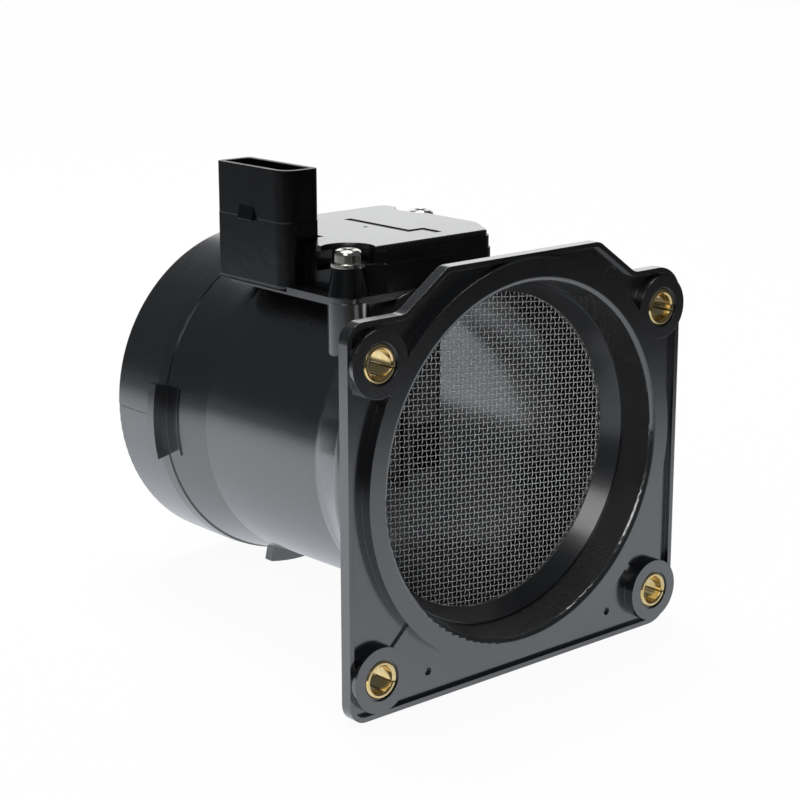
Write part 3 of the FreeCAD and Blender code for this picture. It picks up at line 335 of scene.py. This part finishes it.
# Painted shade: the wire colour runs from near white at the crowns to dark grey in the valleys.
painted_shade = add(steel, "ShaderNodeMix", {0: painted_shade_mask.outputs[0], 6: linear("FBFBFA"), 7: linear("3C3C3A")},
           data_type="RGBA")
steel.node_tree.links.new(painted_shade.outputs[2], steel_shader.inputs["Base Color"])
steel.node_tree.links.new(wire_gloss.outputs[0], steel_shader.inputs["Roughness"])


def weave_tree():
    """One set of parallel waved wires inside a circle, for either direction of the weave."""
    tree = bpy.data.node_groups.new("waved_wires", "GeometryNodeTree")
    inlets = {}
    measures = ("Pitch", "Swing", "Wire Radius", "Screen Radius", "Quarter Turn", "Skew Along", "Skew Across")
    kinds = dict.fromkeys(measures, "NodeSocketFloat")
    kinds.update({"Wires": "NodeSocketInt", "Finish": "NodeSocketMaterial"})
    for name, kind in kinds.items():
        inlets[name] = tree.interface.new_socket(name, in_out="INPUT", socket_type=kind).identifier
    tree.interface.new_socket("Geometry", in_out="OUTPUT", socket_type="NodeSocketGeometry")
    source = add(tree, "NodeGroupInput").outputs

    # A grid of rows, a pitch apart, with a few steps to a pitch along each.
    gaps = add(tree, "ShaderNodeMath", {0: source["Wires"], 1: 1.0}, operation="SUBTRACT")
    span = add(tree, "ShaderNodeMath", {0: gaps.outputs[0], 1: source["Pitch"]}, operation="MULTIPLY")
    stretches = add(tree, "ShaderNodeMath", {0: gaps.outputs[0], 1: steps_per_pitch}, operation="MULTIPLY")
    steps = add(tree, "ShaderNodeMath", {0: stretches.outputs[0], 1: 1.0}, operation="ADD")
    grid = add(tree, "GeometryNodeMeshGrid", {
        "Size X": span.outputs[0], "Size Y": span.outputs[0],
        "Vertices X": source["Wires"], "Vertices Y": steps.outputs[0],
    })

    # The edges that join one row to the next go, so that only the rows are left.
    ends = add(tree, "GeometryNodeInputMeshEdgeVertices").outputs
    apart = add(tree, "ShaderNodeVectorMath", {0: ends["Position 1"], 1: ends["Position 2"]},
                operation="SUBTRACT")
    across = add(tree, "ShaderNodeSeparateXYZ", {0: apart.outputs[0]})
    distance = add(tree, "ShaderNodeMath", {0: across.outputs["X"]}, operation="ABSOLUTE")
    half_pitch = add(tree, "ShaderNodeMath", {0: source["Pitch"], 1: 0.5}, operation="MULTIPLY")
    sideways = add(tree, "ShaderNodeMath", {0: distance.outputs[0], 1: half_pitch.outputs[0]},
                   operation="GREATER_THAN")
    rows = add(tree, "GeometryNodeDeleteGeometry", {
        "Geometry": grid.outputs["Mesh"], "Selection": sideways.outputs[0],
    }, domain="EDGE", mode="EDGE_FACE")

    # Each row rises and falls by the swing over two pitches, against its neighbours.
    spot = add(tree, "GeometryNodeInputPosition").outputs[0]
    parts = add(tree, "ShaderNodeSeparateXYZ", {0: spot}).outputs
    waves = []
    for axis in ("X", "Y"):
        turns = add(tree, "ShaderNodeMath", {0: parts[axis], 1: source["Pitch"]}, operation="DIVIDE")
        angle = add(tree, "ShaderNodeMath", {0: turns.outputs[0], 1: math.pi}, operation="MULTIPLY")
        waves.append(add(tree, "ShaderNodeMath", {0: angle.outputs[0]}, operation="COSINE").outputs[0])
    weave = add(tree, "ShaderNodeMath", {0: waves[0], 1: waves[1]}, operation="MULTIPLY")
    rise = add(tree, "ShaderNodeMath", {0: weave.outputs[0], 1: source["Swing"]}, operation="MULTIPLY")
    lag_x = add(tree, "ShaderNodeMath", {0: parts["Y"], 1: source["Skew Across"]}, operation="MULTIPLY")
    lag_y = add(tree, "ShaderNodeMath", {0: parts["X"], 1: source["Skew Along"]}, operation="MULTIPLY")
    shift = add(tree, "ShaderNodeCombineXYZ", {
        "X": lag_x.outputs[0], "Y": lag_y.outputs[0], "Z": rise.outputs[0],
    })
    waved = add(tree, "GeometryNodeSetPosition", {"Geometry": rows.outputs[0], "Offset": shift.outputs[0]})

    # What lies outside the screen's circle goes, and the rest gets a round section.
    reach = add(tree, "ShaderNodeVectorMath", {0: spot}, operation="LENGTH")
    outside = add(tree, "ShaderNodeMath", {0: reach.outputs["Value"], 1: source["Screen Radius"]},
                  operation="GREATER_THAN")
    kept = add(tree, "GeometryNodeDeleteGeometry", {
        "Geometry": waved.outputs[0], "Selection": outside.outputs[0],
    }, domain="POINT", mode="ALL")
    lines = add(tree, "GeometryNodeMeshToCurve", {"Mesh": kept.outputs[0]})
    profile = add(tree, "GeometryNodeCurvePrimitiveCircle", {
        "Resolution": wire_sides, "Radius": source["Wire Radius"],
    })
    tubes = add(tree, "GeometryNodeCurveToMesh", {
        "Curve": lines.outputs[0], "Profile Curve": profile.outputs[0], "Fill Caps": True,
    })
    turned = add(tree, "ShaderNodeCombineXYZ", {"Z": source["Quarter Turn"]})
    placed = add(tree, "GeometryNodeTransform", {"Geometry": tubes.outputs[0], "Rotation": turned.outputs[0]})
    smooth = add(tree, "GeometryNodeSetShadeSmooth", {"Geometry": placed.outputs[0]})
    real = add(tree, "GeometryNodeRealizeInstances", {0: smooth.outputs[0]})
    finish = add(tree, "GeometryNodeSetMaterial", {"Geometry": real.outputs[0], "Material": source["Finish"]})
    add(tree, "NodeGroupOutput", {0: finish.outputs[0]})
    return tree, inlets


def grow(name, tree, inlets, values):
    """Runs a geometry tree on an empty mesh and keeps the result as a plain mesh."""
    seed = bpy.data.objects.new(name, bpy.data.meshes.new(name))
    bpy.context.scene.collection.objects.link(seed)
    modifier = seed.modifiers.new(name, "NODES")
    modifier.node_group = tree
    for key, value in values.items():
        modifier[inlets[key]] = value
    made = bpy.data.meshes.new_from_object(seed.evaluated_get(bpy.context.evaluated_depsgraph_get()))
    seed.modifiers.clear()
    seed.data = made
    return seed


tree, inlets = weave_tree()
upright = Matrix.Translation(screen_middle) @ Matrix.Rotation(math.radians(90), 4, "X")
for name, swing, quarter_turn, skew_along, skew_across in (
    ("screen_warp_wires", wire_swing, 0.0, weave_skew, 0.0),
    ("screen_weft_wires", -wire_swing, math.pi / 2, 0.0, -weave_skew),
):
    wires = grow(name, tree, inlets, {
        "Pitch": wire_pitch, "Swing": swing, "Wire Radius": wire_radius,
        "Screen Radius": screen_radius - clamp_gap, "Wires": wire_count, "Quarter Turn": quarter_turn,
        "Skew Along": skew_along, "Skew Across": skew_across, "Finish": steel,
    })
    wires.data.transform(upright)
    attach(wires, "root")
    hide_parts("inlet_screen")

# The screen's edge sits in a channel rolled from bright stainless strip, held in the
# mouth by a conical ring moulded in a smoother, paler grade.
strip = drifting("stainless_strip_rolled", ("C6C6C3", "AFAFAB"), (0.24, 0.4), size=1.5, metallic=1.0)
dress(strip, "screen_rim")
ring_plastic, _ = moulded_black(
    "retaining_ring_moulded", "15161A", (0.26, 0.36), grain=0.35, patch=12, edge=0.15, wave=0.05,
    ior=1.6, coat=0.5, coat_roughness=0.18,
)
dress(ring_plastic, "screen_retaining_ring")

# The module is moulded in a black compound like the housing's, with softer edges. The
# rim of its socket is left matt by the tool, over the last tenth of a millimetre.
module_plastic, module_shader = moulded_black(
    "module_compound_moulded", "060708", (0.2, 0.3), grain=0.3, patch=9, edge=0.4, wave=0.12,
    ior=1.42, coat=0.3, coat_roughness=0.12, coat_ior=1.5,
)
socket_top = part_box("module_base")[1].z
rim_start = socket_top - 0.12 * MM
rim_full = socket_top - 0.06 * MM
module_place = add(module_plastic, "ShaderNodeTexCoord").outputs["Object"]
module_height = add(module_plastic, "ShaderNodeSeparateXYZ", {0: module_place})
for inlet, below, above in (("Specular IOR Level", 0.5, 0.1), ("Coat Weight", 0.3, 0.0)):
    matt_rim = add(module_plastic, "ShaderNodeMapRange", {
        "Value": module_height.outputs["Z"], "From Min": rim_start, "From Max": rim_full,
        "To Min": below, "To Max": above,
    })
    module_plastic.node_tree.links.new(matt_rim.outputs[0], module_shader.inputs[inlet])
dress(module_plastic, "module_base", "probe_cover")

# The lid is moulded in a smoother, glossier grade and closes the tray. Its stepped line
# and the gate's dot are sunk, and the tool left them matt.
lid_plastic, lid_shader = moulded_black(
    "lid_compound_moulded", "0F1012", (0.24, 0.3), grain=0.5, patch=20, edge=0.3, wave=0.05,
    ior=1.6, coat=1.0, coat_roughness=0.18,
)
lid_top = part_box("module_lid")[1].z
line_floor = lid_top - 0.2 * MM
line_edge = lid_top - 0.1 * MM
lid_place = add(lid_plastic, "ShaderNodeTexCoord").outputs["Object"]
lid_height = add(lid_plastic, "ShaderNodeSeparateXYZ", {0: lid_place})
polished = add(lid_plastic, "ShaderNodeMapRange", {
    "Value": lid_height.outputs["Z"], "From Min": line_floor, "From Max": line_edge,
})
lid_plastic.node_tree.links.new(polished.outputs[0], lid_shader.inputs["Coat Weight"])
dress(lid_plastic, "module_lid")

# The module's screws and washers are steel, cold formed and zinc-plated with a bright
# pass. They mirror the room sharply and show light marks of the driver.
zinc = drifting("zinc_plate_bright", ("EDEAE2", "D5D2C8"), (0.08, 0.18), size=2.0, relief=0.001,
                edge=0.2, metallic=1.0)
dress(zinc, "module_screw_1", "module_screw_2", "screw_washer_1", "screw_washer_2")

# The terminals are blades stamped from tinned copper alloy and bent to the board, with a
# soft grey gloss that runs along their length.
tin = drifting("tinned_copper_alloy_stamped", ("D8D2C6", "B9B2A4"), (0.24, 0.4), size=0.6,
               stretch=(1, 1, 0.2), metallic=1.0)
dress(tin, *[f"terminal_{i}" for i in range(1, 6)])

# The seal is a ring moulded in nitrile rubber that lies in a groove under the module's
# foot. It is matt, with a light bloom.
rubber = drifting("nitrile_rubber_moulded", ("1E1F20", "2A2B2C"), (0.65, 0.85), size=2.5, relief=0.02,
                  ior=1.52)
dress(rubber, "module_seal")

# The circuit board is glass epoxy under a green lacquer, on four studs in the tray. It
# carries a chip in a moulded epoxy package, which is dull, and drawn aluminium cans.
board = drifting("glass_epoxy_board_lacquered", ("1B5336", "26673F"), (0.28, 0.42), size=1.0, ior=1.5)
dress(board, "circuit_board")
chip = drifting("epoxy_package_moulded", ("1F1F21", "2A2A2C"), (0.42, 0.6), size=0.4, relief=0.01)
dress(chip, "control_chip")
can = drifting("aluminium_can_drawn", ("D0D1D3", "B6B7BA"), (0.22, 0.38), size=0.6, stretch=(1, 1, 0.15),
               metallic=1.0)
dress(can, "capacitors")

# The sensing parts hang in the probe's air passage: a fired alumina carrier, dry and
# matt, two films under a clear glaze, and a sealing glass bead on its leads.
ceramic = drifting("alumina_ceramic_fired", ("EBE8E0", "DAD6CB"), (0.45, 0.65), size=0.5, relief=0.01,
                   ior=1.7)
dress(ceramic, "sensor_carrier")
film = drifting("glazed_platinum_film", ("65676B", "7A7C80"), (0.12, 0.26), size=0.4, relief=0.002, ior=1.6)
dress(film, "hot_film_element", "compensation_element")
bead = drifting("sealing_glass_bead", ("4E1A14", "682A20"), (0.06, 0.16), size=0.5, relief=0.002, ior=1.52)
dress(bead, "air_temperature_bead")
